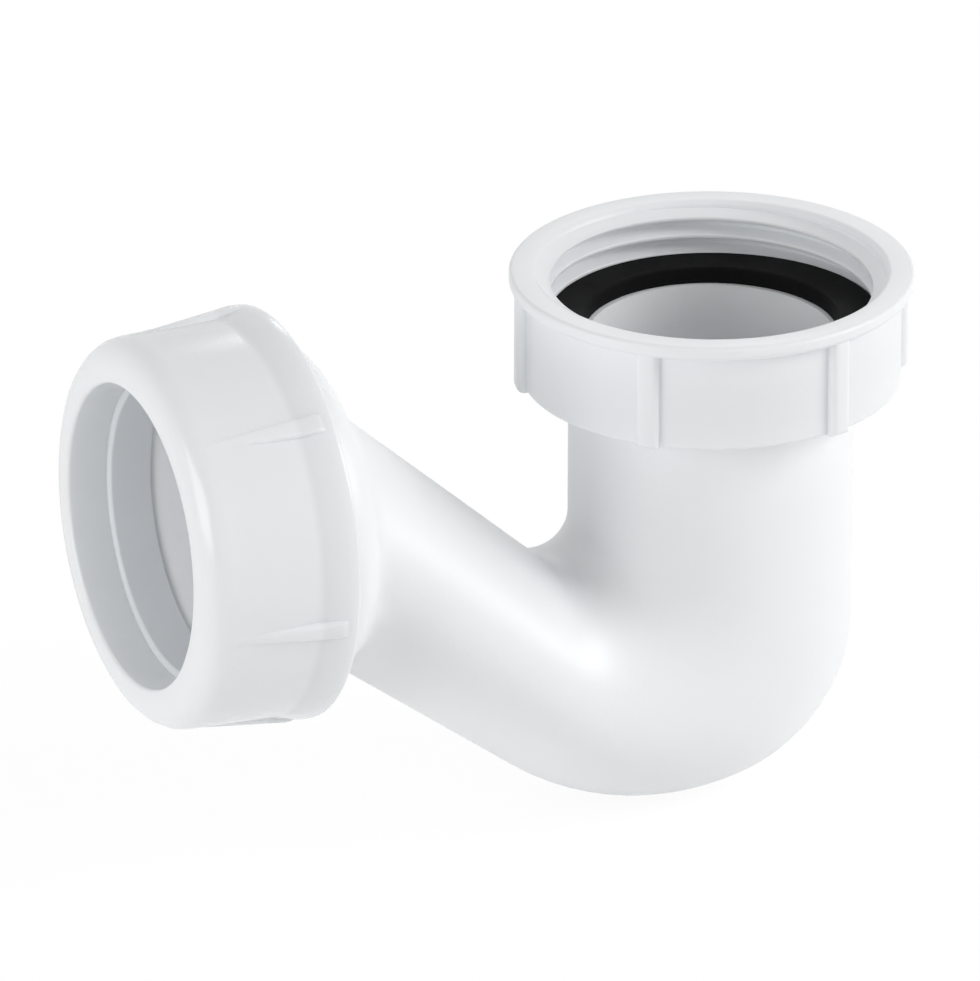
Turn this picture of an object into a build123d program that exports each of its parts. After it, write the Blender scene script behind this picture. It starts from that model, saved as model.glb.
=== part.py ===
from build123d import *

import os
from math import cos, radians, sin, tan

# Bidet trap: a one-piece moulded body, a captive nut with its washer at the inlet, and a
# compression nut with its tapered seal at the outlet.
# Millimetres, +Z up. The origin is the middle of the inlet nut's open top. The inlet stands
# on the Z axis and the outlet points along -X.

# Inlet joint: a nut with a one and a quarter inch pipe thread
inlet_thread_diameter = 41.91
inlet_thread_clearance = 0.1
inlet_thread_depth = 6.2
inlet_thread_runout = 0.3
inlet_thread_relief = 0.3
inlet_nut_wall = 1.6
inlet_nut_floor = 2.7
inlet_lip_overhang = 1.55
inlet_lip_height = 1.9
inlet_lip_round = 0.5
inlet_mouth_chamfer = 0.5
inlet_rib_count = 6
inlet_rib_width = 2.7
inlet_rib_height = 1.15
inlet_rib_end_round = 0.9
inlet_rib_edge_round = 0.6
inlet_rib_turn = 46.0
washer_thickness = 2.2
washer_bore_diameter = 30.5
washer_rim_clearance = 0.6
flange_thickness = 2.7
flange_rim_clearance = 0.8
nut_axial_play = 0.2
nut_tube_clearance = 0.35

# Trap body: a round tube that bends into a flattened leg, with a dip wall inside
tube_diameter = 34.5
body_wall = 2.5
crotch_radius = 4.0
heel_radius = 20.5
heel_turn = 75.0
sole_radius = 35.0
leg_width = 34.5
leg_upper_slope = 41.6
leg_lower_slope = 36.5
leg_mouth_rise = 16.2
leg_mouth_fall = 17.8
leg_mouth_depth = 22.0
bend_section_count = 9
water_seal = 13.0
passage_diameter = 29.0

# Outlet joint: a socket for a plain waste pipe, a tapered seal and a compression nut
outlet_drop = 21.6
outlet_reach = 76.8
pipe_diameter = 34.6
socket_clearance = 0.5
seal_clearance = 0.4
lip_clearance = 1.3
socket_wall = 2.3
socket_depth = 12.4
outlet_thread_height = 1.1
outlet_thread_clearance = 0.3
seal_head_length = 2.7
seal_tip_wall = 0.4
seal_seat_gap = 0.3
socket_mouth_edge = 0.6
socket_mouth_depth = 3.2
seal_rim_clearance = 0.5
shoulder_height = 1.2
shoulder_length = 5.3
shoulder_round = 5.0
shoulder_gap = 0.4

# Outlet nut: a slightly tapered barrel with six lugs and a flared rear rim
outlet_nut_length = 19.3
outlet_lip_length = 5.2
outlet_nut_wall = 2.3
outlet_front_round = 3.6
outlet_lip_edge_round = 0.5
barrel_length = 14.1
barrel_growth = 0.5
rim_growth = 0.9
rim_width = 1.3
rim_round = 0.5
outlet_nut_chamfer = 0.6
lug_count = 6
lug_turn = 42.5
lug_width = 2.6
lug_start = 5.5
lug_height = 1.6
lug_end_round = 1.2
lug_edge_round = 0.6

# Worked out from the sizes above
inlet_bore_radius = inlet_thread_diameter / 2 + inlet_thread_clearance
inlet_recess_radius = inlet_bore_radius + inlet_thread_relief
inlet_wall_radius = inlet_recess_radius + inlet_nut_wall
inlet_lip_radius = inlet_wall_radius + inlet_lip_overhang
inlet_rib_radius = inlet_wall_radius + inlet_rib_height
washer_top = -inlet_thread_depth
inlet_thread_end = washer_top + inlet_thread_runout
flange_top = washer_top - washer_thickness
flange_bottom = flange_top - flange_thickness
floor_top = flange_bottom - nut_axial_play
inlet_nut_bottom = floor_top - inlet_nut_floor

tube_radius = tube_diameter / 2
passage_radius = passage_diameter / 2
weir_height = -outlet_drop - passage_radius
dip_height = weir_height - water_seal

pipe_radius = pipe_diameter / 2
lip_bore_radius = pipe_radius + lip_clearance
seal_bore_radius = pipe_radius + seal_clearance
socket_bore_radius = pipe_radius + socket_clearance
thread_root_radius = socket_bore_radius + socket_wall
outlet_bore_radius = thread_root_radius + outlet_thread_height + outlet_thread_clearance
shoulder_radius = thread_root_radius + shoulder_height
seal_front = outlet_lip_length + seal_seat_gap
seal_shoulder = seal_front + seal_head_length
socket_front = seal_shoulder + seal_seat_gap
socket_stop = socket_front + socket_depth
socket_mouth_radius = thread_root_radius - socket_mouth_edge
socket_mouth_slope = (socket_mouth_radius - socket_bore_radius) / socket_mouth_depth
shoulder_front = outlet_nut_length + shoulder_gap
shoulder_back = shoulder_front + shoulder_length
barrel_front_radius = outlet_bore_radius + outlet_nut_wall
barrel_rear_radius = barrel_front_radius + barrel_growth
rim_radius = barrel_rear_radius + rim_growth

leg_mouth_x = leg_mouth_depth - outlet_reach
outlet_axis = Axis((0, 0, -outlet_drop), (1, 0, 0))


def turned(points, radii, axis):
    """Solid of revolution of a closed outline in the XZ plane, with rounded corners."""
    outline = FilletPolyline(*[(x, 0, z) for x, z in points], radius=radii, close=True)
    return revolve(make_face(outline), axis=axis)


def outlet_turned(points, radii):
    """Solid about the outlet axis, from points of depth behind the nut's front and radius."""
    placed = [(depth - outlet_reach, radius - outlet_drop) for depth, radius in points]
    return turned(placed, radii, outlet_axis)


def upper_line(x):
    """Height of the leg's upper edge at x, in the plane of symmetry."""
    return leg_mouth_rise - outlet_drop - (x - leg_mouth_x) * tan(radians(leg_upper_slope))


def lower_line(x):
    """Height of the leg's lower edge at x, in the plane of symmetry."""
    return -leg_mouth_fall - outlet_drop - (x - leg_mouth_x) * tan(radians(leg_lower_slope))


crotch_x = -tube_radius - crotch_radius
crotch_z = upper_line(crotch_x) + crotch_radius / cos(radians(leg_upper_slope))
heel_x = tube_radius - heel_radius
sole_x = heel_x - (sole_radius - heel_radius) * cos(radians(heel_turn))
sole_z = lower_line(sole_x) + sole_radius / cos(radians(leg_lower_slope))
heel_z = sole_z - (sole_radius - heel_radius) * sin(radians(heel_turn))


def oval(inner, outer, half_width):
    """Oval face across the passage, between two points of the plane of symmetry, and its plane."""
    inner_point = Vector(inner[0], 0, inner[1])
    outer_point = Vector(outer[0], 0, outer[1])
    across = outer_point - inner_point
    side = Vector(0, 1, 0)
    plane = Plane((inner_point + outer_point) / 2, x_dir=side, z_dir=side.cross(across))
    return plane * scale(Circle(1), by=(half_width, across.length / 2, 1)), plane


def arc_point(x, z, radius, turn):
    """Point of an arc about x and z, where turn is 0 towards +X and 90 degrees straight down."""
    return x + radius * cos(radians(turn)), z - radius * sin(radians(turn))


def bend_oval(share, inset):
    """Section at a share of the bend, from 0 at the tube to 1 at the leg."""
    upper_turn = share * (90 + leg_upper_slope)
    lower_turn = share * (90 + leg_lower_slope)
    inner = arc_point(crotch_x, crotch_z, crotch_radius + inset, upper_turn)
    if lower_turn < heel_turn:
        outer = arc_point(heel_x, heel_z, heel_radius - inset, lower_turn)
    else:
        outer = arc_point(sole_x, sole_z, sole_radius - inset, lower_turn)
    half_width = tube_radius + share * (leg_width / 2 - tube_radius) - inset
    return oval(inner, outer, half_width)


def mouth_oval(inset):
    """Upright section where the leg runs into the outlet socket."""
    inner = (leg_mouth_x, upper_line(leg_mouth_x) - inset / cos(radians(leg_upper_slope)))
    outer = (leg_mouth_x, lower_line(leg_mouth_x) + inset / cos(radians(leg_lower_slope)))
    return oval(inner, outer, leg_width / 2 - inset)


def bent_run(inset):
    """Tube, bend and leg as one solid, set in from the outer skin by inset."""
    shares = [step / (bend_section_count - 1) for step in range(bend_section_count)]
    sections = [bend_oval(share, inset)[0] for share in shares]
    first_plane = bend_oval(0, inset)[1]
    straight = extrude(Pos(0, 0, flange_top) * Circle(tube_radius - inset), amount=heel_z - flange_top)
    tube = split(straight, bisect_by=first_plane, keep=Keep.BOTTOM)
    bend = loft(sections)
    leg = loft([sections[-1], mouth_oval(inset)[0]], ruled=True)
    return tube + bend + leg


def make_trap_body():
    """The moulded body: flange, tube, bend, leg and threaded socket, cored out."""
    flange_radius = inlet_bore_radius - flange_rim_clearance
    flange = extrude(Pos(0, 0, flange_bottom) * Circle(flange_radius), amount=flange_thickness)
    socket = outlet_turned(
        [
            (socket_front, 0),
            (socket_front, thread_root_radius),
            (shoulder_front, thread_root_radius),
            (shoulder_front, shoulder_radius),
            (shoulder_back, shoulder_radius),
            (shoulder_back, 0),
        ],
        [0, 0, 0, 0, shoulder_round, 0],
    )
    skin = flange + bent_run(0) + socket

    dip_wall_height = crotch_z - dip_height
    dip_wall = Pos(-tube_radius, 0, dip_height) * Box(
        body_wall, tube_diameter, dip_wall_height, align=(Align.CENTER, Align.CENTER, Align.MIN)
    )
    socket_core = outlet_turned(
        [
            (socket_front, 0),
            (socket_front, socket_mouth_radius),
            (socket_front + socket_mouth_depth, socket_bore_radius),
            (socket_stop, socket_bore_radius),
            (socket_stop, passage_radius),
            (shoulder_back - body_wall, passage_radius),
            (shoulder_back - body_wall, 0),
        ],
        [0] * 7,
    )
    water_way = bent_run(body_wall) - dip_wall
    return skin - water_way - socket_core


def make_outlet_seal():
    """Tapered seal ring: a flat head behind the nut's lip and a nose in the socket mouth."""
    head_radius = outlet_bore_radius - seal_rim_clearance
    tip_radius = seal_bore_radius + seal_tip_wall
    nose_reach = socket_mouth_radius - seal_seat_gap
    nose_root = nose_reach + (socket_front - seal_shoulder) * socket_mouth_slope
    nose_tip = socket_front + (nose_reach - tip_radius) / socket_mouth_slope
    return outlet_turned(
        [
            (seal_front, seal_bore_radius),
            (seal_front, head_radius),
            (seal_shoulder, head_radius),
            (seal_shoulder, nose_root),
            (nose_tip, tip_radius),
            (nose_tip, seal_bore_radius),
        ],
        [0] * 6,
    )


def ridge(outline, width, edge_round, is_outer):
    """Flat outline in the XZ plane made a ridge, with its outer long edges rounded."""
    solid = extrude(make_face(outline), amount=width / 2, both=True)
    long_edges = solid.edges().filter_by(lambda edge: abs(edge.center().Y) > width / 4)
    return fillet(long_edges.filter_by(is_outer), edge_round)


def make_lug():
    """One lug of the outlet nut: a ramp that rises towards the rear rim and ends rounded."""
    lug_end = outlet_nut_length - rim_width
    root = outlet_bore_radius + outlet_nut_wall / 2
    ramp = FilletPolyline(
        (lug_start - outlet_reach, 0, root - outlet_drop),
        (lug_start - outlet_reach, 0, barrel_front_radius - outlet_drop),
        (lug_end - outlet_reach, 0, barrel_rear_radius + lug_height - outlet_drop),
        (lug_end - outlet_reach, 0, root - outlet_drop),
        radius=[0, 0, lug_end_round, 0],
        close=True,
    )
    barrel_height = barrel_front_radius - outlet_drop
    return ridge(ramp, lug_width, lug_edge_round, lambda edge: edge.center().Z > barrel_height)


def make_outlet_nut():
    """Compression nut: inner lip, tapered barrel, six lugs and a flared rear rim."""
    ring = outlet_turned(
        [
            (0, lip_bore_radius),
            (0, barrel_front_radius),
            (barrel_length, barrel_rear_radius),
            (outlet_nut_length - rim_width, rim_radius),
            (outlet_nut_length, rim_radius),
            (outlet_nut_length, outlet_bore_radius + outlet_nut_chamfer),
            (outlet_nut_length - outlet_nut_chamfer, outlet_bore_radius),
            (outlet_lip_length, outlet_bore_radius),
            (outlet_lip_length, lip_bore_radius),
        ],
        [outlet_lip_edge_round, outlet_front_round, 0, rim_round, rim_round, 0, 0, 0, 0],
    )
    for step in range(lug_count):
        ring += make_lug().rotate(outlet_axis, lug_turn + step * 360 / lug_count)
    return ring


def make_inlet_nut():
    """Captive union nut: a threaded cup with a lip round its mouth, six ribs and a holed floor."""
    hole_radius = tube_radius + nut_tube_clearance
    cup = turned(
        [
            (inlet_bore_radius + inlet_mouth_chamfer, 0),
            (inlet_lip_radius, 0),
            (inlet_lip_radius, -inlet_lip_height),
            (inlet_wall_radius, -inlet_lip_height),
            (inlet_wall_radius, inlet_nut_bottom),
            (hole_radius, inlet_nut_bottom),
            (hole_radius, floor_top),
            (inlet_recess_radius, floor_top),
            (inlet_recess_radius, inlet_thread_end),
            (inlet_bore_radius, inlet_thread_end),
            (inlet_bore_radius, -inlet_mouth_chamfer),
        ],
        [0, inlet_lip_round, inlet_lip_round, 0, inlet_lip_round, 0, 0, 0, 0, 0, 0],
        Axis.Z,
    )
    rib_root = inlet_wall_radius - inlet_nut_wall / 2
    rib_outline = FilletPolyline(
        (rib_root, 0, -inlet_lip_height / 2),
        (inlet_rib_radius, 0, -inlet_lip_height / 2),
        (inlet_rib_radius, 0, inlet_nut_bottom),
        (rib_root, 0, inlet_nut_bottom),
        radius=[0, 0, inlet_rib_end_round, 0],
        close=True,
    )
    rib = ridge(
        rib_outline, inlet_rib_width, inlet_rib_edge_round, lambda edge: edge.center().X > inlet_wall_radius
    )
    for step in range(inlet_rib_count):
        cup += rib.rotate(Axis.Z, inlet_rib_turn + step * 360 / inlet_rib_count)
    return cup


def make_inlet_washer():
    """Flat sealing washer that lies on the body's flange inside the inlet nut."""
    rim_radius_of_washer = inlet_bore_radius - washer_rim_clearance
    ring = Circle(rim_radius_of_washer) - Circle(washer_bore_diameter / 2)
    return extrude(Pos(0, 0, flange_top) * ring, amount=washer_thickness)


nodes = {
    "trap_body": make_trap_body,
    "inlet_nut": make_inlet_nut,
    "inlet_washer": make_inlet_washer,
    "outlet_nut": make_outlet_nut,
    "outlet_seal": make_outlet_seal,
}

os.makedirs("parts", exist_ok=True)
for node, make in nodes.items():
    export_step(make(), f"parts/{node}.step")
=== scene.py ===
"""Looks of a white plastic bidet trap: its moulded body, two nuts, a rubber washer and a seal ring.

Sizes are millimetres until a piece is finished, and metres after that. The inlet stands on the Z axis
and the outlet points along -X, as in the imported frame.
"""

import logging
import math
from collections.abc import Callable, Iterator, Sequence
from contextlib import contextmanager
from dataclasses import dataclass, replace
from enum import Enum

import bmesh
import bpy
from bmesh.types import BMVert
from bpy.types import Material, NodeLinks, Nodes, NodeSocket, NodeTree, Object
from mathutils import Matrix, Vector


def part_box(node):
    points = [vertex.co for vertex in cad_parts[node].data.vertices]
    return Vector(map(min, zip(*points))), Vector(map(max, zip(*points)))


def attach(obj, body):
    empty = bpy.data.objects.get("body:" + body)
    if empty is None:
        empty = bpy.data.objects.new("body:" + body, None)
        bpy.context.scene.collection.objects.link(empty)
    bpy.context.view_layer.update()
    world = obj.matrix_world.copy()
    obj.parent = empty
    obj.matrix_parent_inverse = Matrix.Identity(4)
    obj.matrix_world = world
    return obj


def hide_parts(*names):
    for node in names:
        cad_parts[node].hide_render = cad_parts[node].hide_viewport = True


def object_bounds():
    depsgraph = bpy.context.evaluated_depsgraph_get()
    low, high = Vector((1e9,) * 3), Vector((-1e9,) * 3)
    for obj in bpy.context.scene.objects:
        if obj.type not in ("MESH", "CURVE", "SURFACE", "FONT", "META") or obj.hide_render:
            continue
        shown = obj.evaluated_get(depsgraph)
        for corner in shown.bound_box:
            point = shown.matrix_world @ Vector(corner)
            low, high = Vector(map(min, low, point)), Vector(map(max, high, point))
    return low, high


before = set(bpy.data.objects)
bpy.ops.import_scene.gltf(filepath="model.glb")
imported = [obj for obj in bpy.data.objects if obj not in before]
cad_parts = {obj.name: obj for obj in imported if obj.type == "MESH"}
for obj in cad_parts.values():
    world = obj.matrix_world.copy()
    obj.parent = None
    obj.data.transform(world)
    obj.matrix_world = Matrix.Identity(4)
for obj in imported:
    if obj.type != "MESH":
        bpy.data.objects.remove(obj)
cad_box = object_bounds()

LOG = logging.getLogger("bidet_trap")
MM = 0.001
RING_STEPS = 144
PLACE_TOLERANCE = 0.01
SMOOTH_ANGLE = math.radians(32)
ROUND_STEPS = 5
CREST_STEPS = 3
WELD_DISTANCE = 1e-7
GLOW_REACH = 2.5 * MM


class Join(Enum):
    """How a tool solid changes the piece it is set into."""

    ADD = "UNION"
    CUT = "DIFFERENCE"


class Slot(Enum):
    """Material slots, by name."""

    BODY = "body"
    INLET_NUT = "inlet_nut"
    WASHER = "washer"
    OUTLET_NUT = "outlet_nut"
    SEAL = "seal"


def frame_box(node: str) -> tuple[Vector, Vector]:
    """Lowest and highest corner of a node's box.

    Args:
        node: Name of the node.

    Returns:
        Both corners in millimetres.
    """
    low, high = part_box(node)
    return low / MM, high / MM


BODY_LOW, BODY_HIGH = frame_box("trap_body")
INLET_LOW, INLET_HIGH = frame_box("inlet_nut")
WASHER_LOW, WASHER_HIGH = frame_box("inlet_washer")
OUTLET_LOW, OUTLET_HIGH = frame_box("outlet_nut")
SEAL_LOW, SEAL_HIGH = frame_box("outlet_seal")


@dataclass(frozen=True)
class Corner:
    """One corner of a turned outline.

    Attributes:
        radius: Its distance from the axis.
        height: Its height along the axis.
        rounding: Radius of its rounding, zero for a sharp corner.
    """

    radius: float
    height: float
    rounding: float = 0.0


def only(piece: Object) -> None:
    """Make one object the only selected and active one.

    Args:
        piece: Object to select.
    """
    bpy.ops.object.select_all(action="DESELECT")
    piece.select_set(True)
    bpy.context.view_layer.objects.active = piece


@contextmanager
def editing(piece: Object) -> Iterator[None]:
    """Hold a mesh in edit mode, with nothing selected at the start.

    Args:
        piece: Object whose mesh is shaped.
    """
    only(piece)
    bpy.ops.object.mode_set(mode="EDIT")
    bpy.context.tool_settings.mesh_select_mode = (True, False, False)
    bpy.ops.mesh.select_all(action="DESELECT")
    yield
    bpy.ops.object.mode_set(mode="OBJECT")


def pick(piece: Object, wanted: Callable[[BMVert], bool]) -> None:
    """Select the vertices that pass a test, with the edges and faces between them.

    Args:
        piece: Object in edit mode.
        wanted: Test of one vertex.
    """
    shape = bmesh.from_edit_mesh(piece.data)
    shape.verts.index_update()
    for vert in shape.verts:
        vert.select_set(wanted(vert))
    shape.select_flush(True)
    shape.select_flush(False)
    bmesh.update_edit_mesh(piece.data)


def pick_ring(piece: Object, *corners: Corner) -> None:
    """Select the rings of a turned piece that lie at the given corners.

    Args:
        piece: Object in edit mode.
        corners: Corners of its outline.
    """

    def on_ring(vert: BMVert) -> bool:
        """Tell whether a vertex lies on one of the rings."""
        radius = math.hypot(vert.co.x, vert.co.y)
        return any(
            abs(radius - corner.radius) < PLACE_TOLERANCE and abs(vert.co.z - corner.height) < PLACE_TOLERANCE
            for corner in corners
        )

    pick(piece, on_ring)


def face_outwards() -> None:
    """Turn all faces of the mesh in edit mode outwards."""
    bpy.ops.mesh.select_all(action="SELECT")
    bpy.ops.mesh.normals_make_consistent(inside=False)
    bpy.ops.mesh.select_all(action="DESELECT")


def round_edges(radius: float) -> None:
    """Round the selected edges of the mesh in edit mode."""
    bpy.ops.mesh.bevel(offset=radius, segments=ROUND_STEPS, affect="EDGES")


def settle(piece: Object) -> None:
    """Put an object's place, turn and scale into its mesh."""
    only(piece)
    bpy.ops.object.transform_apply(location=True, rotation=True, scale=True)


def name_piece(piece: Object, name: str) -> Object:
    """Give an object and its mesh the same name.

    Args:
        piece: Object to name.
        name: Its new name.

    Returns:
        The same object.
    """
    piece.name = name
    piece.data.name = name
    return piece


def discard(piece: Object) -> None:
    """Remove an object and its mesh.

    Args:
        piece: Object that is no longer needed.
    """
    spent = piece.data
    bpy.data.objects.remove(piece)
    bpy.data.meshes.remove(spent)


def block(name: str, size: Sequence[float], middle: Sequence[float]) -> Object:
    """Model a plain block with its sides along the axes.

    Args:
        name: Name of the new piece.
        size: Its lengths along X, Y and Z.
        middle: Where its middle lies.

    Returns:
        The block.
    """
    bpy.ops.mesh.primitive_cube_add(size=1)
    piece = name_piece(bpy.context.object, name)
    piece.scale = size
    piece.location = middle
    settle(piece)
    return piece


def turned(name: str, outline: Sequence[Corner], is_ring: bool = True) -> Object:
    """Turn an outline about Z by drawing one circle out from corner to corner.

    Args:
        name: Name of the new piece.
        outline: Corners in order round the section.
        is_ring: Whether the last corner joins the first. Otherwise both ends are closed by flat caps.

    Returns:
        The new piece, with its rounded corners bevelled.
    """
    first = outline[0]
    bpy.ops.mesh.primitive_circle_add(
        vertices=RING_STEPS, radius=first.radius, location=(0, 0, first.height), fill_type="NOTHING"
    )
    piece = name_piece(bpy.context.object, name)
    settle(piece)
    with editing(piece):
        bpy.ops.mesh.select_all(action="SELECT")
        last = first
        for corner in outline[1:]:
            growth = corner.radius / last.radius
            step = {"value": (0, 0, corner.height - last.height)}
            bpy.ops.mesh.extrude_region_move(TRANSFORM_OT_translate=step)
            bpy.ops.transform.resize(value=(growth, growth, 1), center_override=(0, 0, corner.height))
            last = corner
        if is_ring:
            pick_ring(piece, first, last)
            bpy.ops.mesh.bridge_edge_loops()
        else:
            for end in (first, last):
                pick_ring(piece, end)
                bpy.ops.mesh.edge_face_add()
        face_outwards()
        for corner in outline:
            if corner.rounding:
                pick_ring(piece, corner)
                round_edges(corner.rounding)
    return piece


def combine(piece: Object, tool: Object, way: Join) -> None:
    """Set a tool solid into a piece and remove the tool.

    Args:
        piece: Piece that is changed.
        tool: Closed solid that is added or cut away.
        way: Whether the tool is added or cut.
    """
    only(piece)
    change = piece.modifiers.new(way.name.lower(), "BOOLEAN")
    change.operation = way.value
    change.object = tool
    change.solver = "EXACT"
    bpy.ops.object.modifier_apply(modifier=change.name)
    discard(tool)


def copies_round(piece: Object, count: int, first_turn: float) -> Object:
    """Repeat a piece about Z, each copy with its own mesh, and join the copies.

    Args:
        piece: Piece that stands on the +X side.
        count: Number of copies.
        first_turn: Turn of the first copy in degrees.

    Returns:
        One object that holds all the copies.
    """
    ring: list[Object] = []
    for step in range(count):
        copy = piece.copy()
        copy.data = piece.data.copy()
        bpy.context.collection.objects.link(copy)
        copy.rotation_euler.z = math.radians(first_turn + step * 360 / count)
        settle(copy)
        ring.append(copy)
    discard(piece)
    only(ring[0])
    for copy in ring[1:]:
        copy.select_set(True)
    bpy.ops.object.join()
    return ring[0]


@dataclass(frozen=True)
class Thread:
    """A helical ridge of a moulded thread, right-handed, about Z.

    Attributes:
        wall_radius: Radius of the wall that the ridge stands on.
        crest_radius: Radius of the ridge's crest.
        pitch: Rise of one turn.
        start: Height of the ridge's middle where it begins.
        turns: Number of turns.
        start_turn: Direction in degrees where it begins.
        root_width: Width of the ridge at the wall.
        crest_width: Width of the ridge at its crest.
        crest_round: Rounding of the crest's corners.
        sunk: Depth of the ridge's foot in the wall.
        fade_steps: Steps over which each end fades into the wall.
    """

    wall_radius: float
    crest_radius: float
    pitch: float
    start: float
    turns: float
    start_turn: float = 0.0
    root_width: float = 2.0
    crest_width: float = 0.8
    crest_round: float = 0.3
    sunk: float = 0.45
    fade_steps: int = 14

    def build(self, name: str) -> Object:
        """Wind the ridge as a closed solid.

        Args:
            name: Name of the new piece.

        Returns:
            The ridge.
        """
        height = self.crest_radius - self.wall_radius
        foot = self.wall_radius - math.copysign(self.sunk, height)
        bpy.ops.mesh.primitive_plane_add(size=1, rotation=(math.pi / 2, 0, 0))
        ridge = name_piece(bpy.context.object, name)
        ridge.scale = (abs(self.crest_radius - foot), self.root_width, 1)
        ridge.location = ((self.crest_radius + foot) / 2, 0, self.start)
        settle(ridge)
        with editing(ridge):
            pick(ridge, lambda vert: abs(vert.co.x - self.crest_radius) < PLACE_TOLERANCE)
            bpy.ops.transform.resize(
                value=(1, 1, self.crest_width / self.root_width),
                center_override=(self.crest_radius, 0, self.start),
            )
            bpy.ops.mesh.bevel(offset=self.crest_round, segments=CREST_STEPS, affect="VERTICES")
            bpy.ops.mesh.select_all(action="SELECT")
            bpy.ops.mesh.delete(type="ONLY_FACE")
        ridge.rotation_euler.z = math.radians(self.start_turn)
        settle(ridge)
        corners = len(ridge.data.vertices)
        winding = ridge.modifiers.new("winding", "SCREW")
        winding.axis = "Z"
        winding.angle = math.tau * self.turns
        winding.screw_offset = self.pitch * self.turns
        winding.steps = winding.render_steps = round(RING_STEPS * self.turns)
        winding.use_merge_vertices = False
        only(ridge)
        bpy.ops.object.modifier_apply(modifier=winding.name)
        self.fade_ends(ridge, corners)
        with editing(ridge):
            bpy.ops.mesh.select_all(action="SELECT")
            bpy.ops.mesh.fill_holes(sides=0)
            face_outwards()
        return ridge

    def fade_ends(self, ridge: Object, corners: int) -> None:
        """Let both ends of the ridge run out into the wall.

        Args:
            ridge: Wound ridge, its vertices in order along the helix.
            corners: Vertices in one section of it.
        """
        sections = len(ridge.data.vertices) // corners
        low_radius = self.wall_radius - math.copysign(self.sunk / 2, self.crest_radius - self.wall_radius)
        for index, vert in enumerate(ridge.data.vertices):
            section = index // corners
            share = min(1.0, section / self.fade_steps, (sections - 1 - section) / self.fade_steps)
            radius = math.hypot(vert.co.x, vert.co.y)
            is_proud = (radius - low_radius) * (self.crest_radius - low_radius) > 0
            if is_proud:
                wanted = low_radius + (radius - low_radius) * math.sin(share * math.pi / 2)
                vert.co.x *= wanted / radius
                vert.co.y *= wanted / radius


@dataclass(frozen=True)
class Grain:
    """Skin of a moulded surface: how its tone, gloss and height vary.

    Attributes:
        cloud_scale: Patches of tone in each metre.
        speck_scale: Fine grain in each metre.
        tone_spread: Depth of the tone patches.
        gloss_spread: Depth of the gloss patches.
    """

    cloud_scale: float
    speck_scale: float
    tone_spread: float
    gloss_spread: float


COLOR = "NodeSocketColor"
VALUE = "NodeSocketFloat"


class ShaderGroup:
    """A shader node group that is built once and then shared.

    Attributes:
        NAME: Name of the group.
        INPUTS: Kind of each socket that it takes, by name.
        OUTPUTS: Kind of each socket that it gives, by name.
    """

    NAME: str
    INPUTS: dict[str, str]
    OUTPUTS: dict[str, str]

    @classmethod
    def group(cls) -> NodeTree:
        """Find the group, or build it the first time.

        Returns:
            The group's node tree.
        """
        if cls.NAME in bpy.data.node_groups:
            return bpy.data.node_groups[cls.NAME]
        tree = bpy.data.node_groups.new(cls.NAME, "ShaderNodeTree")
        for side, sockets in (("INPUT", cls.INPUTS), ("OUTPUT", cls.OUTPUTS)):
            for name, kind in sockets.items():
                tree.interface.new_socket(name=name, in_out=side, socket_type=kind)
        cls.fill(tree.nodes, tree.links)
        return tree

    @classmethod
    def fill(cls, nodes: Nodes, links: NodeLinks) -> None:
        """Set the group's nodes and join them."""
        raise NotImplementedError


class MouldedSkin(ShaderGroup):
    """Shader group that varies the colour, roughness and height of a moulded surface."""

    NAME = "moulded_skin"
    INPUTS = {
        "Light Color": COLOR,
        "Dark Color": COLOR,
        "Cloud Scale": VALUE,
        "Speck Scale": VALUE,
        "Smooth Roughness": VALUE,
        "Dull Roughness": VALUE,
    }
    OUTPUTS = {"Color": COLOR, "Roughness": VALUE, "Height": VALUE}
    CLOUD_DETAIL = 3.0
    SPECK_DETAIL = 2.0
    GLOSS_FROM = 0.3
    GLOSS_TO = 0.7

    @classmethod
    def fill(cls, nodes: Nodes, links: NodeLinks) -> None:
        """Mix the tone and the gloss by soft clouds, and raise the height by fine specks.

        Args:
            nodes: Nodes of the group.
            links: Links of the group.
        """
        entry = nodes.new("NodeGroupInput")
        leave = nodes.new("NodeGroupOutput")
        place = nodes.new("ShaderNodeTexCoord")
        clouds = nodes.new("ShaderNodeTexNoise")
        clouds.inputs["Detail"].default_value = cls.CLOUD_DETAIL
        specks = nodes.new("ShaderNodeTexNoise")
        specks.inputs["Detail"].default_value = cls.SPECK_DETAIL
        tone = nodes.new("ShaderNodeMix")
        tone.data_type = "RGBA"
        gloss = nodes.new("ShaderNodeMapRange")
        gloss.inputs["From Min"].default_value = cls.GLOSS_FROM
        gloss.inputs["From Max"].default_value = cls.GLOSS_TO
        links.new(place.outputs["Object"], clouds.inputs["Vector"])
        links.new(place.outputs["Object"], specks.inputs["Vector"])
        links.new(entry.outputs["Cloud Scale"], clouds.inputs["Scale"])
        links.new(entry.outputs["Speck Scale"], specks.inputs["Scale"])
        links.new(clouds.outputs["Fac"], tone.inputs["Factor"])
        links.new(entry.outputs["Light Color"], tone.inputs["A"])
        links.new(entry.outputs["Dark Color"], tone.inputs["B"])
        links.new(clouds.outputs["Fac"], gloss.inputs["Value"])
        links.new(entry.outputs["Smooth Roughness"], gloss.inputs["To Min"])
        links.new(entry.outputs["Dull Roughness"], gloss.inputs["To Max"])
        links.new(tone.outputs["Result"], leave.inputs["Color"])
        links.new(gloss.outputs["Result"], leave.inputs["Roughness"])
        links.new(specks.outputs["Fac"], leave.inputs["Height"])


@dataclass(frozen=True)
class PaintedShadeBand:
    """A band across X painted darker: painted shade that stands in for the thin wall letting light through
    and looking darker.

    Attributes:
        start: Where the band begins, in metres along X.
        end: Where it has faded out, in metres along X.
        painted_shade_depth: Share of the tone that is lost where it is darkest.
    """

    start: float
    end: float
    painted_shade_depth: float


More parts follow.
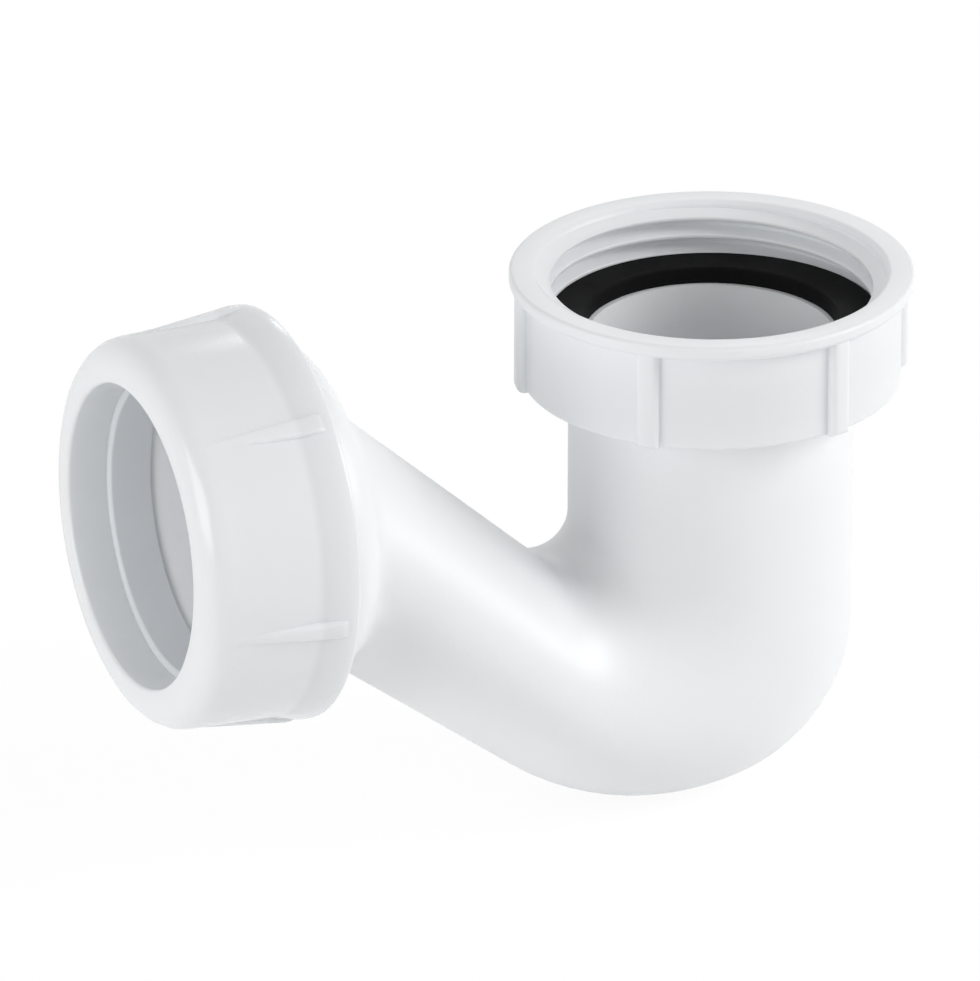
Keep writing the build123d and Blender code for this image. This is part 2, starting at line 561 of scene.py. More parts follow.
class PaintedShadeMask(ShaderGroup):
    """Shader group that masks a band across X for painted shade, which rises soon after its start and fades
    to its end.
    """

    NAME = "painted_shade_mask"
    INPUTS = {"Start": VALUE, "End": VALUE}
    OUTPUTS = {"Mask": VALUE}
    RISE = 0.16

    @classmethod
    def fill(cls, nodes: Nodes, links: NodeLinks) -> None:
        """Turn the place along X into a mask by a ramp.

        Args:
            nodes: Nodes of the group.
            links: Links of the group.
        """
        entry = nodes.new("NodeGroupInput")
        leave = nodes.new("NodeGroupOutput")
        place = nodes.new("ShaderNodeTexCoord")
        parts = nodes.new("ShaderNodeSeparateXYZ")
        share = nodes.new("ShaderNodeMapRange")
        fade = nodes.new("ShaderNodeValToRGB")
        stops = fade.color_ramp.elements
        stops[0].color = (0, 0, 0, 1)
        stops[1].color = (0, 0, 0, 1)
        stops.new(cls.RISE).color = (1, 1, 1, 1)
        links.new(place.outputs["Object"], parts.inputs["Vector"])
        links.new(parts.outputs["X"], share.inputs["Value"])
        links.new(entry.outputs["Start"], share.inputs["From Min"])
        links.new(entry.outputs["End"], share.inputs["From Max"])
        links.new(share.outputs["Result"], fade.inputs["Fac"])
        links.new(fade.outputs["Color"], leave.inputs["Mask"])


@dataclass(frozen=True)
class Finish:
    """Finish of one kind of piece.

    Attributes:
        name: Name of the material.
        tone: Linear colour of the plastic or rubber.
        roughness: Middle roughness.
        grain: How the surface varies.
        bump: Depth of the fine grain in metres.
        specular: Specular level.
        glow_depth: Share of light that scatters below the surface.
        painted_shade_band: Band of painted shade where the wall is thin, if there is one.
    """

    name: str
    tone: tuple[float, float, float]
    roughness: float
    grain: Grain
    bump: float
    specular: float = 0.5
    glow_depth: float = 0.0
    painted_shade_band: PaintedShadeBand | None = None

    def material(self) -> Material:
        """Build the material.

        Returns:
            A new material with its node tree.
        """
        material = bpy.data.materials.new(self.name)
        material.use_nodes = True
        nodes, links = material.node_tree.nodes, material.node_tree.links
        shader = nodes["Principled BSDF"]
        shader.inputs["Specular IOR Level"].default_value = self.specular
        if self.glow_depth:
            shader.inputs["Subsurface Weight"].default_value = self.glow_depth
            shader.inputs["Subsurface Radius"].default_value = (1.0, 1.0, 1.0)
            shader.inputs["Subsurface Scale"].default_value = GLOW_REACH
        skin = nodes.new("ShaderNodeGroup")
        skin.node_tree = MouldedSkin.group()
        darker = 1 - self.grain.tone_spread
        for name, value in (
            ("Light Color", (*self.tone, 1)),
            ("Dark Color", (*(part * darker for part in self.tone), 1)),
            ("Cloud Scale", self.grain.cloud_scale),
            ("Speck Scale", self.grain.speck_scale),
            ("Smooth Roughness", self.roughness - self.grain.gloss_spread),
            ("Dull Roughness", self.roughness + self.grain.gloss_spread),
        ):
            skin.inputs[name].default_value = value
        bump = nodes.new("ShaderNodeBump")
        bump.inputs["Strength"].default_value = 1.0
        bump.inputs["Distance"].default_value = self.bump
        links.new(self.with_painted_shade(nodes, links, skin.outputs["Color"]), shader.inputs["Base Color"])
        links.new(skin.outputs["Roughness"], shader.inputs["Roughness"])
        links.new(skin.outputs["Height"], bump.inputs["Height"])
        links.new(bump.outputs["Normal"], shader.inputs["Normal"])
        return material

    def with_painted_shade(self, nodes: Nodes, links: NodeLinks, color: NodeSocket) -> NodeSocket:
        """Darken a colour with painted shade over the thin band, if there is one.

        Args:
            nodes: Nodes of the material.
            links: Links of the material.
            color: Socket that gives the plain colour.

        Returns:
            Socket that gives the colour to use.
        """
        if self.painted_shade_band is None:
            return color
        painted_skirt_shade = nodes.new("ShaderNodeGroup")
        painted_skirt_shade.node_tree = PaintedShadeMask.group()
        painted_skirt_shade.inputs["Start"].default_value = self.painted_shade_band.start
        painted_skirt_shade.inputs["End"].default_value = self.painted_shade_band.end
        # Painted shade: the colour is multiplied down over the band.
        shade = nodes.new("ShaderNodeMix")
        shade.data_type = "RGBA"
        shade.blend_type = "MULTIPLY"
        left = 1 - self.painted_shade_band.painted_shade_depth
        shade.inputs["B"].default_value = (left, left, left, 1)
        links.new(painted_skirt_shade.outputs["Mask"], shade.inputs["Factor"])
        links.new(color, shade.inputs["A"])
        return shade.outputs["Result"]


def finish_piece(piece: Object, node: str, body: str, finish: Finish) -> None:
    """Bring a piece to metres, smooth it, dress it and put it in its node's place.

    Args:
        piece: Piece in millimetres.
        node: Node that it stands for.
        body: Body that carries it.
        finish: Finish of its surface.
    """
    piece.scale = (MM, MM, MM)
    settle(piece)
    with editing(piece):
        bpy.ops.mesh.select_all(action="SELECT")
        bpy.ops.mesh.remove_doubles(threshold=WELD_DISTANCE)
        bpy.ops.mesh.select_all(action="DESELECT")
    only(piece)
    bpy.ops.object.shade_smooth_by_angle(angle=SMOOTH_ANGLE)
    piece.data.materials.clear()
    piece.data.materials.append(finish.material())
    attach(piece, body)
    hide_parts(node)
    LOG.info("%s: %d faces on %s", piece.name, len(piece.data.polygons), body)


WHITE_MOULDING = Grain(cloud_scale=55.0, speck_scale=2600.0, tone_spread=0.02, gloss_spread=0.04)
CLEAR_MOULDING = Grain(cloud_scale=70.0, speck_scale=2200.0, tone_spread=0.025, gloss_spread=0.04)
RUBBER_SKIN = Grain(cloud_scale=120.0, speck_scale=3200.0, tone_spread=0.35, gloss_spread=0.08)

MOULD_BUMP = 0.012 * MM
SEAL_BUMP = 0.01 * MM
RUBBER_BUMP = 0.03 * MM
WHITE_GLOW = 0.3

BODY_WHITE = Finish(
    "body_white", (0.903, 0.917, 0.931), 0.42, grain=WHITE_MOULDING, bump=MOULD_BUMP, glow_depth=WHITE_GLOW
)
NUT_WHITE = replace(BODY_WHITE, name="inlet_nut_white", tone=(0.872, 0.889, 0.905), roughness=0.4)
OUTLET_WHITE = replace(
    BODY_WHITE, name="outlet_nut_white", tone=(0.867, 0.884, 0.9), roughness=0.21, grain=CLEAR_MOULDING
)
SEAL_PALE = Finish("seal_pale", (0.742, 0.77, 0.796), 0.45, grain=CLEAR_MOULDING, bump=SEAL_BUMP)
WASHER_BLACK = Finish(
    "washer_black", (0.006, 0.0062, 0.0068), 0.7, grain=RUBBER_SKIN, bump=RUBBER_BUMP, specular=0.08
)


@dataclass(frozen=True)
class InletNut:
    """Captive union nut: a threaded cup with a lip round its mouth, six ribs and a holed floor."""

    bore_radius: float = 21.055
    recess_radius: float = 21.355
    wall_radius: float = 22.955
    lip_radius: float = INLET_HIGH.x
    rib_radius: float = 24.105
    hole_radius: float = 17.6
    lip_height: float = 1.9
    edge_round: float = 0.5
    bore_round: float = 0.2
    lip_under_round: float = 0.8
    lip_fillet: float = 0.6
    mouth_chamfer: float = 0.5
    thread_end: float = -5.9
    floor_top: float = -11.3
    bottom: float = INLET_LOW.z
    washer_top: float = WASHER_HIGH.z
    rib_count: int = 6
    rib_turn: float = 46.0
    rib_width: float = 2.7
    rib_round: float = 0.8
    lead_in_depth: float = 1.4
    lead_in_above: float = 1.0
    lead_in_below: float = 2.0
    washer_gap: float = 0.05
    thread: Thread = Thread(
        wall_radius=bore_radius,
        crest_radius=19.48,
        pitch=2.309,
        start=-7.02,
        turns=2.708,
        start_turn=-40.0,
        root_width=2.05,
        crest_width=0.5,
        crest_round=0.15,
    )

    def rib(self) -> Object:
        """Model one rib on the +X side.

        Returns:
            The rib.
        """
        foot = (self.recess_radius + self.wall_radius) / 2
        top = -self.lip_height / 2
        rib = block(
            "rib",
            (self.rib_radius - foot, self.rib_width, top - self.bottom),
            ((self.rib_radius + foot) / 2, 0, (top + self.bottom) / 2),
        )
        with editing(rib):
            pick(rib, lambda vert: vert.co.x > self.wall_radius)
            round_edges(self.rib_round)
        return rib

    def wound_thread(self) -> Object:
        """Wind the thread, with a cone cut at the mouth and room for the washer below.

        Returns:
            The thread's ridge.
        """
        ridge = self.thread.build("union_thread")
        crest = self.thread.crest_radius
        mouth = self.bore_radius + self.mouth_chamfer
        slope = (mouth - crest) / self.lead_in_depth
        cone = (
            Corner(mouth + slope * self.lead_in_above, self.lead_in_above),
            Corner(mouth - slope * self.lead_in_below, -self.lead_in_below),
        )
        lead_in = turned("lead_in", cone, is_ring=False)
        floor = self.washer_top + self.washer_gap
        room = (Corner(self.lip_radius, floor), Corner(self.lip_radius, self.bottom))
        washer_room = turned("washer_room", room, is_ring=False)
        combine(ridge, lead_in, Join.CUT)
        combine(ridge, washer_room, Join.CUT)
        return ridge

    def build(self) -> None:
        """Model the nut, wind its thread and dress it."""
        outline = (
            Corner(self.bore_radius + self.mouth_chamfer, 0, self.bore_round),
            Corner(self.lip_radius, 0, self.edge_round),
            Corner(self.lip_radius, -self.lip_height, self.lip_under_round),
            Corner(self.wall_radius, -self.lip_height, self.lip_fillet),
            Corner(self.wall_radius, self.bottom, self.edge_round),
            Corner(self.hole_radius, self.bottom, self.bore_round),
            Corner(self.hole_radius, self.floor_top),
            Corner(self.recess_radius, self.floor_top),
            Corner(self.recess_radius, self.thread_end),
            Corner(self.bore_radius, self.thread_end),
            Corner(self.bore_radius, -self.mouth_chamfer, self.bore_round),
        )
        nut = turned("union_nut", outline)
        combine(nut, copies_round(self.rib(), self.rib_count, self.rib_turn), Join.ADD)
        combine(nut, self.wound_thread(), Join.ADD)
        finish_piece(nut, "inlet_nut", "inlet_nut", NUT_WHITE)


@dataclass(frozen=True)
class InletWasher:
    """Flat rubber washer on the body's flange."""

    rim_radius: float = WASHER_HIGH.x
    bore_radius: float = 15.25
    top: float = WASHER_HIGH.z
    bottom: float = WASHER_LOW.z
    edge_round: float = 0.25

    def build(self) -> None:
        """Model the washer with softened edges and dress it."""
        outline = (
            Corner(self.bore_radius, self.top, self.edge_round),
            Corner(self.rim_radius, self.top, self.edge_round),
            Corner(self.rim_radius, self.bottom, self.edge_round),
            Corner(self.bore_radius, self.bottom, self.edge_round),
        )
        washer = turned("sealing_washer", outline)
        finish_piece(washer, "inlet_washer", "trap_body", WASHER_BLACK)


@dataclass(frozen=True)
class OutletLine:
    """The outlet's axis: pieces are turned about Z by depth behind the nut's front, then laid along X."""

    reach: float = -OUTLET_LOW.x
    drop: float = -(OUTLET_LOW.z + OUTLET_HIGH.z) / 2

    def lay(self, piece: Object) -> Object:
        """Lay a piece that was turned about Z along the outlet.

        Args:
            piece: Piece to lay.

        Returns:
            The same piece.
        """
        piece.rotation_euler.y = math.pi / 2
        piece.location = (-self.reach, 0, -self.drop)
        settle(piece)
        return piece


@dataclass(frozen=True)
class OutletNut:
    """Compression nut: inner lip, tapered barrel, six ramped lugs and a flared rear rim."""

    line: OutletLine
    length: float = OUTLET_HIGH.x - OUTLET_LOW.x
    lip_length: float = 5.2
    lip_bore: float = 18.6
    bore: float = 21.5
    front_radius: float = 23.8
    rear_radius: float = 24.3
    rim_radius: float = (OUTLET_HIGH.z - OUTLET_LOW.z) / 2
    barrel_length: float = 14.1
    barrel_edge: float = 0.3
    rim_width: float = 1.3
    front_round: float = 3.4
    lip_round: float = 0.5
    rim_round: float = 0.5
    mouth_chamfer: float = 0.6
    lug_count: int = 6
    lug_turn: float = 42.5
    lug_width: float = 2.9
    lug_front_width: float = 1.2
    lug_start: float = 3.2
    lug_front_rise: float = 0.1
    lug_height: float = 1.3
    lug_end_gap: float = 0.4
    lug_end_round: float = 2.2
    lug_round: float = 0.58
    # Share of the tone taken away as painted shade on the skirt behind the barrel.
    skirt_painted_shade: float = 0.07
    thread: Thread = Thread(wall_radius=bore, crest_radius=20.45, pitch=3.0, start=9.2, turns=3.0)

    def lug(self) -> Object:
        """Model one lug on the +X side, a ramp that rises to the rear.

        Returns:
            The lug.
        """
        end = self.length - self.lug_end_gap
        foot = (self.bore + self.front_radius) / 2
        crest = self.rear_radius + self.lug_height
        lug = block(
            "lug",
            (crest - foot, self.lug_width, end - self.lug_start),
            ((crest + foot) / 2, 0, (end + self.lug_start) / 2),
        )
        with editing(lug):
            pick(lug, lambda vert: vert.co.z < self.barrel_length)
            bpy.ops.transform.resize(value=(1, self.lug_front_width / self.lug_width, 1))
            pick(lug, lambda vert: vert.co.x > self.rear_radius and vert.co.z < self.barrel_length)
            bpy.ops.transform.translate(value=(self.front_radius + self.lug_front_rise - crest, 0, 0))
            pick(lug, lambda vert: vert.co.x > self.rear_radius)
            round_edges(self.lug_end_round)
            for side in (1, -1):
                pick(lug, lambda vert, side=side: vert.co.y * side > 0 and vert.co.x > foot + PLACE_TOLERANCE)
                round_edges(self.lug_round)
        return lug

    def build(self) -> None:
        """Model the nut, wind its thread and dress it."""
        outline = (
            Corner(self.lip_bore, 0, self.lip_round),
            Corner(self.front_radius, 0, self.front_round),
            Corner(self.rear_radius, self.barrel_length, self.barrel_edge),
            Corner(self.rim_radius, self.length - self.rim_width, self.rim_round),
            Corner(self.rim_radius, self.length, self.rim_round),
            Corner(self.bore + self.mouth_chamfer, self.length),
            Corner(self.bore, self.length - self.mouth_chamfer),
            Corner(self.bore, self.lip_length),
            Corner(self.lip_bore, self.lip_length),
        )
        nut = turned("compression_nut", outline)
        combine(nut, copies_round(self.lug(), self.lug_count, self.lug_turn), Join.ADD)
        combine(nut, self.thread.build("compression_thread"), Join.ADD)
        # Painted shade over the skirt behind the barrel, standing in for its thin wall looking darker.
        painted_skirt_shade = PaintedShadeBand(
            start=(self.barrel_length - self.line.reach) * MM,
            end=(self.length - self.line.reach) * MM,
            painted_shade_depth=self.skirt_painted_shade,
        )
        finish = replace(OUTLET_WHITE, painted_shade_band=painted_skirt_shade)
        finish_piece(self.line.lay(nut), "outlet_nut", "outlet_nut", finish)


@dataclass(frozen=True)
class OutletSeal:
    """Tapered seal ring: a flat head behind the nut's lip and a nose in the socket mouth."""

    line: OutletLine
    front: float = 5.21
    shoulder: float = 8.2
    tip: float = SEAL_HIGH.x - OUTLET_LOW.x
    bore: float = 17.7
    head_radius: float = (SEAL_HIGH.z - SEAL_LOW.z) / 2
    nose_radius: float = 19.36
    tip_radius: float = 18.1
    edge_round: float = 0.2
    mouth_round: float = 0.45

    def build(self) -> None:
        """Model the seal and dress it."""
        outline = (
            Corner(self.bore, self.front, self.mouth_round),
            Corner(self.head_radius, self.front, self.edge_round),
            Corner(self.head_radius, self.shoulder, self.edge_round),
            Corner(self.nose_radius, self.shoulder),
            Corner(self.tip_radius, self.tip),
            Corner(self.bore, self.tip),
        )
        seal = turned("seal_ring", outline)
        finish_piece(self.line.lay(seal), "outlet_seal", "outlet_seal", SEAL_PALE)


@dataclass(frozen=True)
class Section:
    """An oval across the waterway, between two points of the plane of symmetry.

    Attributes:
        inner: Point on the crotch's side.
        outer: Point on the heel's side.
        half_width: Half of its width across the plane.
    """

    inner: Vector
    outer: Vector
    half_width: float

    def draw(self) -> Object:
        """Draw the oval as a ring of its own.

        Returns:
            The ring.
        """
        across = self.outer - self.inner
        side = Vector((0, 1, 0))
        long_way = across.normalized()
        turn = Matrix((side, long_way, side.cross(long_way))).transposed()
        bpy.ops.mesh.primitive_circle_add(
            vertices=RING_STEPS,
            radius=1,
            fill_type="NOTHING",
            location=(self.inner + self.outer) / 2,
            rotation=turn.to_euler(),
        )
        ring = bpy.context.object
        ring.scale = (self.half_width, across.length / 2, 1)
        settle(ring)
        return ring


@dataclass(frozen=True)
class TrapBody:
    """The moulded body: flange, round tube, bend, flattened leg and threaded socket, cored out."""

    line: OutletLine
    flange_radius: float = BODY_HIGH.x
    flange_top: float = WASHER_LOW.z
    flange_bottom: float = -11.1
    flange_round: float = 0.2
    tube_radius: float = 17.25
    wall: float = 2.5
    crotch_radius: float = 3.5
    heel_radius: float = 20.5
    heel_turn: float = 75.0
    sole_radius: float = 35.0
    upper_slope: float = 41.6
    lower_slope: float = 36.5
    mouth_rise: float = 16.2
    mouth_fall: float = 17.75
    mouth_depth: float = 22.0
    bend_steps: int = 30
    leg_steps: int = 24
    dip_height: float = -49.1
    dip_round: float = 0.625
    passage_radius: float = 14.5
    socket_bore: float = 17.8
    socket_front: float = BODY_LOW.x - OUTLET_LOW.x
    socket_stop: float = 20.9
    socket_mouth_radius: float = 19.5
    socket_mouth_depth: float = 3.2
    socket_round: float = 0.2
    thread_root: float = 20.1
    shoulder_radius: float = 21.3
    shoulder_front: float = 19.7
    shoulder_back: float = 25.0
    shoulder_edge: float = 0.3
    shoulder_round: float = 4.8
    overlap: float = 1.0
    blend_before: float = 3.0
    blend_behind: float = 2.5
    blend_factor: float = 0.5
    blend_passes: int = 8
    thread: Thread = Thread(wall_radius=thread_root, crest_radius=21.1, pitch=3.0, start=10.2, turns=2.7)

    def upper_line(self, x: float) -> float:
        """Height of the leg's upper edge at x."""
        run = x - (self.mouth_depth - self.line.reach)
        return self.mouth_rise - self.line.drop - run * math.tan(math.radians(self.upper_slope))

    def lower_line(self, x: float) -> float:
        """Height of the leg's lower edge at x."""
        run = x - (self.mouth_depth - self.line.reach)
        return -self.mouth_fall - self.line.drop - run * math.tan(math.radians(self.lower_slope))

    def sections(self, inset: float) -> list[Section]:
        """Ovals from the top of the tube to the mouth of the leg.

        Args:
            inset: Distance in from the outer skin.

        Returns:
            The sections in order.
        """
        upper_cos = math.cos(math.radians(self.upper_slope))
        lower_cos = math.cos(math.radians(self.lower_slope))
        crotch_x = -self.tube_radius - self.crotch_radius
        crotch_z = self.upper_line(crotch_x) + self.crotch_radius / upper_cos
        heel_x = self.tube_radius - self.heel_radius
        gap = self.sole_radius - self.heel_radius
        sole_x = heel_x - gap * math.cos(math.radians(self.heel_turn))
        sole_z = self.lower_line(sole_x) + self.sole_radius / lower_cos
        heel_z = sole_z - gap * math.sin(math.radians(self.heel_turn))

        def arc(x: float, z: float, radius: float, turn: float) -> Vector:
            """Point of an arc, turned down from +X."""
            angle = math.radians(turn)
            return Vector((x + radius * math.cos(angle), 0, z - radius * math.sin(angle)))

        half_width = self.tube_radius - inset
        top = self.flange_top + (self.overlap if inset else -self.overlap)
        run = [Section(Vector((-half_width, 0, top)), Vector((half_width, 0, top)), half_width)]
        for step in range(self.bend_steps + 1):
            share = step / self.bend_steps
            lower_turn = share * (90 + self.lower_slope)
            inner = arc(crotch_x, crotch_z, self.crotch_radius + inset, share * (90 + self.upper_slope))
            if lower_turn < self.heel_turn:
                outer = arc(heel_x, heel_z, self.heel_radius - inset, lower_turn)
            else:
                outer = arc(sole_x, sole_z, self.sole_radius - inset, lower_turn)
            run.append(Section(inner, outer, half_width))
        last = run[-1]
        mouth_x = self.mouth_depth - self.line.reach
        upper_end = Vector((mouth_x, 0, self.upper_line(mouth_x) - inset / upper_cos))
        lower_end = Vector((mouth_x, 0, self.lower_line(mouth_x) + inset / lower_cos))
        for step in range(1, self.leg_steps + 1):
            share = step / self.leg_steps
            run.append(
                Section(last.inner.lerp(upper_end, share), last.outer.lerp(lower_end, share), half_width)
            )
        return run

    def bent_run(self, name: str, inset: float) -> Object:
        """Bridge the ovals of tube, bend and leg into one closed solid.

        Args:
            name: Name of the new solid.
            inset: Distance in from the outer skin.

        Returns:
            The solid.
        """
        run = self.sections(inset)
        solid = name_piece(run[0].draw(), name)
        for section in run[1:]:
            ring = section.draw()
            only(solid)
            ring.select_set(True)
            bpy.ops.object.join()
        with editing(solid):
            for step in range(len(run) - 1):
                rings = range(step * RING_STEPS, (step + 2) * RING_STEPS)
                pick(solid, lambda vert, rings=rings: vert.index in rings)
                bpy.ops.mesh.bridge_edge_loops()
            for step in (0, len(run) - 1):
                ring = range(step * RING_STEPS, (step + 1) * RING_STEPS)
                pick(solid, lambda vert, ring=ring: vert.index in ring)
                bpy.ops.mesh.edge_face_add()
            face_outwards()
        return solid

    def socket(self) -> Object:
        """Turn the socket's outer form with its rounded shoulder.

        Returns:
            The socket, laid along the outlet.
        """
        outline = (
            Corner(self.socket_bore / 2, self.socket_front),
            Corner(self.thread_root, self.socket_front, self.socket_round),
            Corner(self.thread_root, self.shoulder_front),
            Corner(self.shoulder_radius, self.shoulder_front, self.shoulder_edge),
            Corner(self.shoulder_radius, self.shoulder_back, self.shoulder_round),
            Corner(self.socket_bore / 2, self.shoulder_back),
        )
        return self.line.lay(turned("socket", outline, is_ring=False))

    def blend_shoulder(self, body: Object) -> None:
        """Soften the corner between the shoulder and the leg.

        Args:
            body: Body with its socket, before it is cored out.
        """
        back = self.shoulder_back - self.line.reach
        with editing(body):
            pick(body, lambda vert: back - self.blend_before < vert.co.x < back + self.blend_behind)
            bpy.ops.mesh.vertices_smooth(factor=self.blend_factor, repeat=self.blend_passes)

    def socket_core(self) -> Object:
        """Turn the socket's inside: a flared mouth, the pipe's bore, its stop and the passage.

        Returns:
            The solid to cut away, laid along the outlet.
        """
        outline = (
            Corner(self.socket_mouth_radius, self.socket_front - self.overlap),
            Corner(self.socket_mouth_radius, self.socket_front),
            Corner(self.socket_bore, self.socket_front + self.socket_mouth_depth),
            Corner(self.socket_bore, self.socket_stop),
            Corner(self.passage_radius, self.socket_stop),
            Corner(self.passage_radius, self.shoulder_back - self.wall),
        )
        return self.line.lay(turned("socket_core", outline, is_ring=False))

    def dip_wall(self) -> Object:
        """Model the wall that hangs from the crotch into the water.

        Returns:
            The wall.
        """
        height = self.tube_radius + self.crotch_radius
        wall = block(
            "dip_wall",
            (self.wall, 2 * self.tube_radius, height),
            (-self.tube_radius, 0, self.dip_height + height / 2),
        )
        with editing(wall):
            pick(wall, lambda vert: vert.co.z < self.dip_height + PLACE_TOLERANCE)
            round_edges(self.dip_round)
        return wall

    def build(self) -> None:
        """Model the body, core it out, wind its thread and dress it."""
        body = self.bent_run("moulded_body", 0)
        outline = (
            Corner(self.flange_radius / 2, self.flange_top),
            Corner(self.flange_radius, self.flange_top, self.flange_round),
            Corner(self.flange_radius, self.flange_bottom, self.flange_round),
            Corner(self.flange_radius / 2, self.flange_bottom),
        )
        flange = turned("flange", outline, is_ring=False)
        combine(body, flange, Join.ADD)
        combine(body, self.socket(), Join.ADD)
        self.blend_shoulder(body)
        combine(body, self.line.lay(self.thread.build("socket_thread")), Join.ADD)
        water_way = self.bent_run("water_way", self.wall)
        combine(water_way, self.dip_wall(), Join.CUT)
        combine(body, water_way, Join.CUT)
        combine(body, self.socket_core(), Join.CUT)
        finish_piece(body, "trap_body", "trap_body", BODY_WHITE)


@dataclass(frozen=True)
class Lamp:
    """A soft square lamp that looks at the middle of the object.

    Attributes:
        name: Name of the lamp.
        place: Where it hangs, in metres.
        size: Side of the square in metres.
        power: Power in watts.
    """

    name: str
    place: tuple[float, float, float]
    size: float
    power: float

    def hang(self) -> None:
        """Hang the lamp in the scene."""
        data = bpy.data.lights.new(self.name, "AREA")
        data.size = self.size
        data.energy = self.power
        lamp = bpy.data.objects.new(self.name, data)
        middle = (cad_box[0] + cad_box[1]) / 2
        place = Vector(self.place)
        lamp.location = place
        lamp.rotation_euler = (middle - place).to_track_quat("-Z", "Y").to_euler()
        bpy.context.collection.objects.link(lamp)


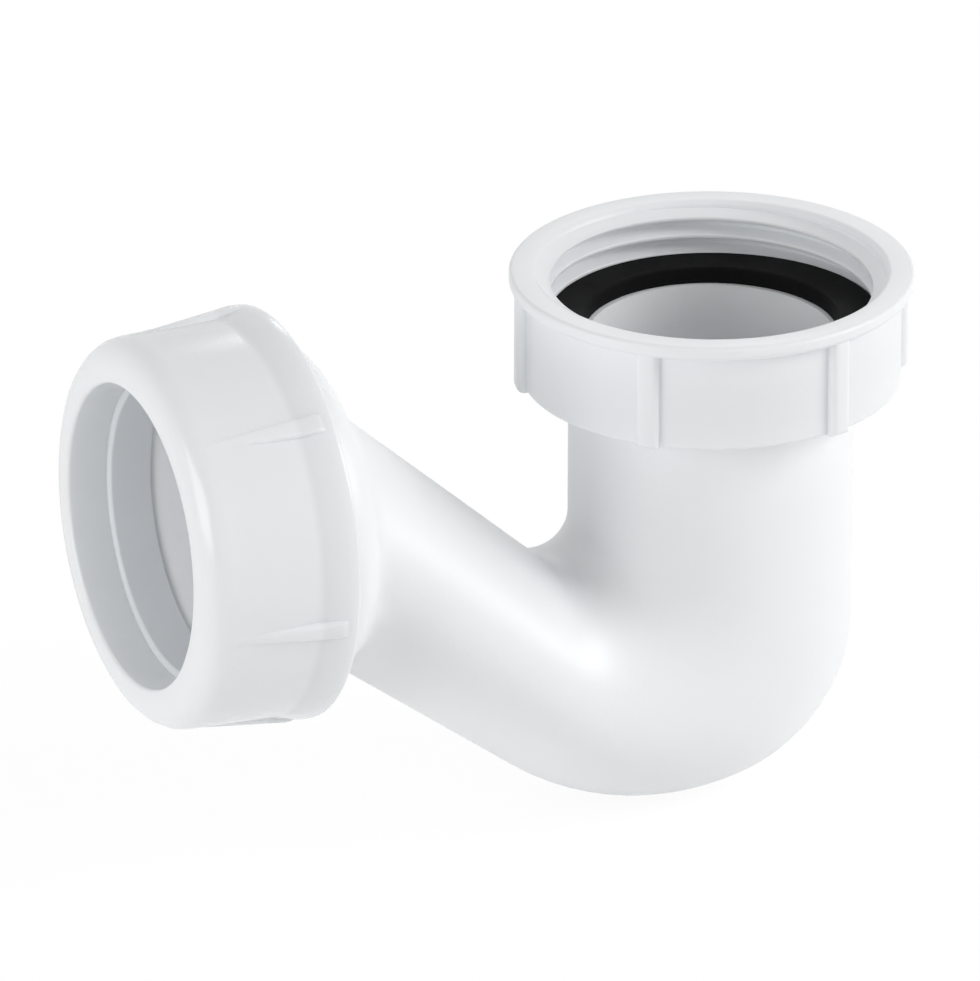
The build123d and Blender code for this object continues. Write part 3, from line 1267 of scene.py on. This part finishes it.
@dataclass(frozen=True)
class Studio:
    """Camera, floor, lamps and surroundings.

    Attributes:
        azimuth: Camera's turn from the front in degrees.
        elevation: Camera's height in degrees.
        roll: Camera's turn about its own line of sight in degrees.
        distance: Camera's distance in metres.
        scale: Pixels for each metre at the inlet's mouth.
        mouth_pixel: Pixel of the inlet's mouth in the picture.
        picture: Width and height of the picture.
        sensor: Width of the camera's sensor in millimetres.
        sight: Farthest distance that the camera shows, in metres.
        ambient: Strength of the even light.
        lamps: Lamps round the object.
        floor_size: Side of the floor in metres.
        floor_gap: Room between the floor and the object in millimetres.
        floor_tone: Linear tone of the floor.
        floor_roughness: Roughness of the floor.
        floor_white: Share of plain white in the floor that the camera sees, beside its shadow.
        floor_glow: Strength of that white, a little over one, to make up for the lit share.
    """

    azimuth: float = -24.6
    elevation: float = 23.5
    roll: float = 0.2
    distance: float = 3.0
    scale: float = 8285.0
    mouth_pixel: tuple[float, float] = (711.5, 269.0)
    picture: tuple[int, int] = (980, 981)
    sensor: float = 36.0
    sight: float = 100.0
    ambient: float = 0.46
    lamps: tuple[Lamp, ...] = (
        Lamp("key", (0.95, -0.55, 0.55), size=0.6, power=7.9),
        Lamp("fill", (-1.2, -0.25, 0.2), size=0.8, power=6.4),
        Lamp("rim", (0.4, 0.8, 0.57), size=0.25, power=0.6),
    )
    floor_size: float = 30.0
    floor_gap: float = 0.5
    floor_tone: float = 0.95
    floor_roughness: float = 0.9
    floor_white: float = 0.9
    floor_glow: float = 1.03

    def camera(self) -> None:
        """Place the camera so that the inlet's mouth falls on its pixel."""
        turn, rise, roll = (math.radians(value) for value in (self.azimuth, self.elevation, self.roll))
        towards = Vector((math.sin(turn) * math.cos(rise), -math.cos(turn) * math.cos(rise), math.sin(rise)))
        right = Vector((math.cos(turn), math.sin(turn), 0))
        up = towards.cross(right)
        level_right = right * math.cos(roll) + up * math.sin(roll)
        level_up = up * math.cos(roll) - right * math.sin(roll)
        across = (self.picture[0] / 2 - self.mouth_pixel[0]) / self.scale
        down = (self.picture[1] / 2 - self.mouth_pixel[1]) / self.scale
        eye = level_right * across - level_up * down + towards * self.distance
        data = bpy.data.cameras.new("photo_camera")
        data.sensor_width = self.sensor
        data.lens = self.scale * self.distance / self.picture[0] * self.sensor
        data.clip_end = self.sight
        camera = bpy.data.objects.new("photo_camera", data)
        axes = Matrix((level_right, level_up, towards)).transposed().to_4x4()
        camera.matrix_world = Matrix.Translation(eye) @ axes
        bpy.context.collection.objects.link(camera)
        bpy.context.scene.camera = camera

    @staticmethod
    def shown_white(nodes: Nodes, links: NodeLinks) -> NodeSocket:
        """Mask the rays that see the surroundings as white.

        Args:
            nodes: Nodes of a material or of the world.
            links: Links between them.

        Returns:
            Socket that gives one for such a ray.
        """
        path = nodes.new("ShaderNodeLightPath")
        mask = path.outputs["Is Camera Ray"]
        for ray in ("Is Glossy Ray", "Is Transmission Ray"):
            either = nodes.new("ShaderNodeMath")
            either.operation = "MAXIMUM"
            links.new(mask, either.inputs[0])
            links.new(path.outputs[ray], either.inputs[1])
            mask = either.outputs[0]
        return mask

    def surroundings(self) -> None:
        """Light the scene evenly and show a white background."""
        world = bpy.data.worlds.new("white_room")
        world.use_nodes = True
        nodes, links = world.node_tree.nodes, world.node_tree.links
        even = nodes["Background"]
        even.inputs["Color"].default_value = (1, 1, 1, 1)
        even.inputs["Strength"].default_value = self.ambient
        white = nodes.new("ShaderNodeBackground")
        white.inputs["Color"].default_value = (1, 1, 1, 1)
        mix = nodes.new("ShaderNodeMixShader")
        links.new(self.shown_white(nodes, links), mix.inputs[0])
        links.new(even.outputs[0], mix.inputs[1])
        links.new(white.outputs[0], mix.inputs[2])
        links.new(mix.outputs[0], nodes["World Output"].inputs["Surface"])
        bpy.context.scene.world = world

    def floor(self) -> None:
        """Lay a pale floor under the object, white to the camera apart from a faint shadow."""
        height = cad_box[0].z - self.floor_gap * MM
        bpy.ops.mesh.primitive_plane_add(size=self.floor_size, location=(0, 0, height))
        floor = name_piece(bpy.context.object, "floor")
        settle(floor)
        material = bpy.data.materials.new("pale_floor")
        material.use_nodes = True
        nodes, links = material.node_tree.nodes, material.node_tree.links
        pale = nodes["Principled BSDF"]
        pale.inputs["Base Color"].default_value = (self.floor_tone, self.floor_tone, self.floor_tone, 1)
        pale.inputs["Roughness"].default_value = self.floor_roughness
        white = nodes.new("ShaderNodeEmission")
        white.inputs["Strength"].default_value = self.floor_glow
        mix = nodes.new("ShaderNodeMixShader")
        share = nodes.new("ShaderNodeMath")
        share.operation = "MULTIPLY"
        share.inputs[1].default_value = self.floor_white
        links.new(self.shown_white(nodes, links), share.inputs[0])
        links.new(share.outputs[0], mix.inputs[0])
        links.new(pale.outputs[0], mix.inputs[1])
        links.new(white.outputs[0], mix.inputs[2])
        links.new(mix.outputs[0], nodes["Material Output"].inputs["Surface"])
        floor.data.materials.append(material)

    def build(self) -> None:
        """Set up the whole studio."""
        bpy.context.scene.view_settings.view_transform = "Standard"
        self.camera()
        self.floor()
        self.surroundings()
        for lamp in self.lamps:
            lamp.hang()


def main() -> None:
    logging.basicConfig(level=logging.INFO, format="%(name)s %(message)s")
    line = OutletLine()
    for piece in (TrapBody(line), InletNut(), InletWasher(), OutletSeal(line), OutletNut(line)):
        piece.build()
    Studio().build()


if __name__ == "__main__":
    main()
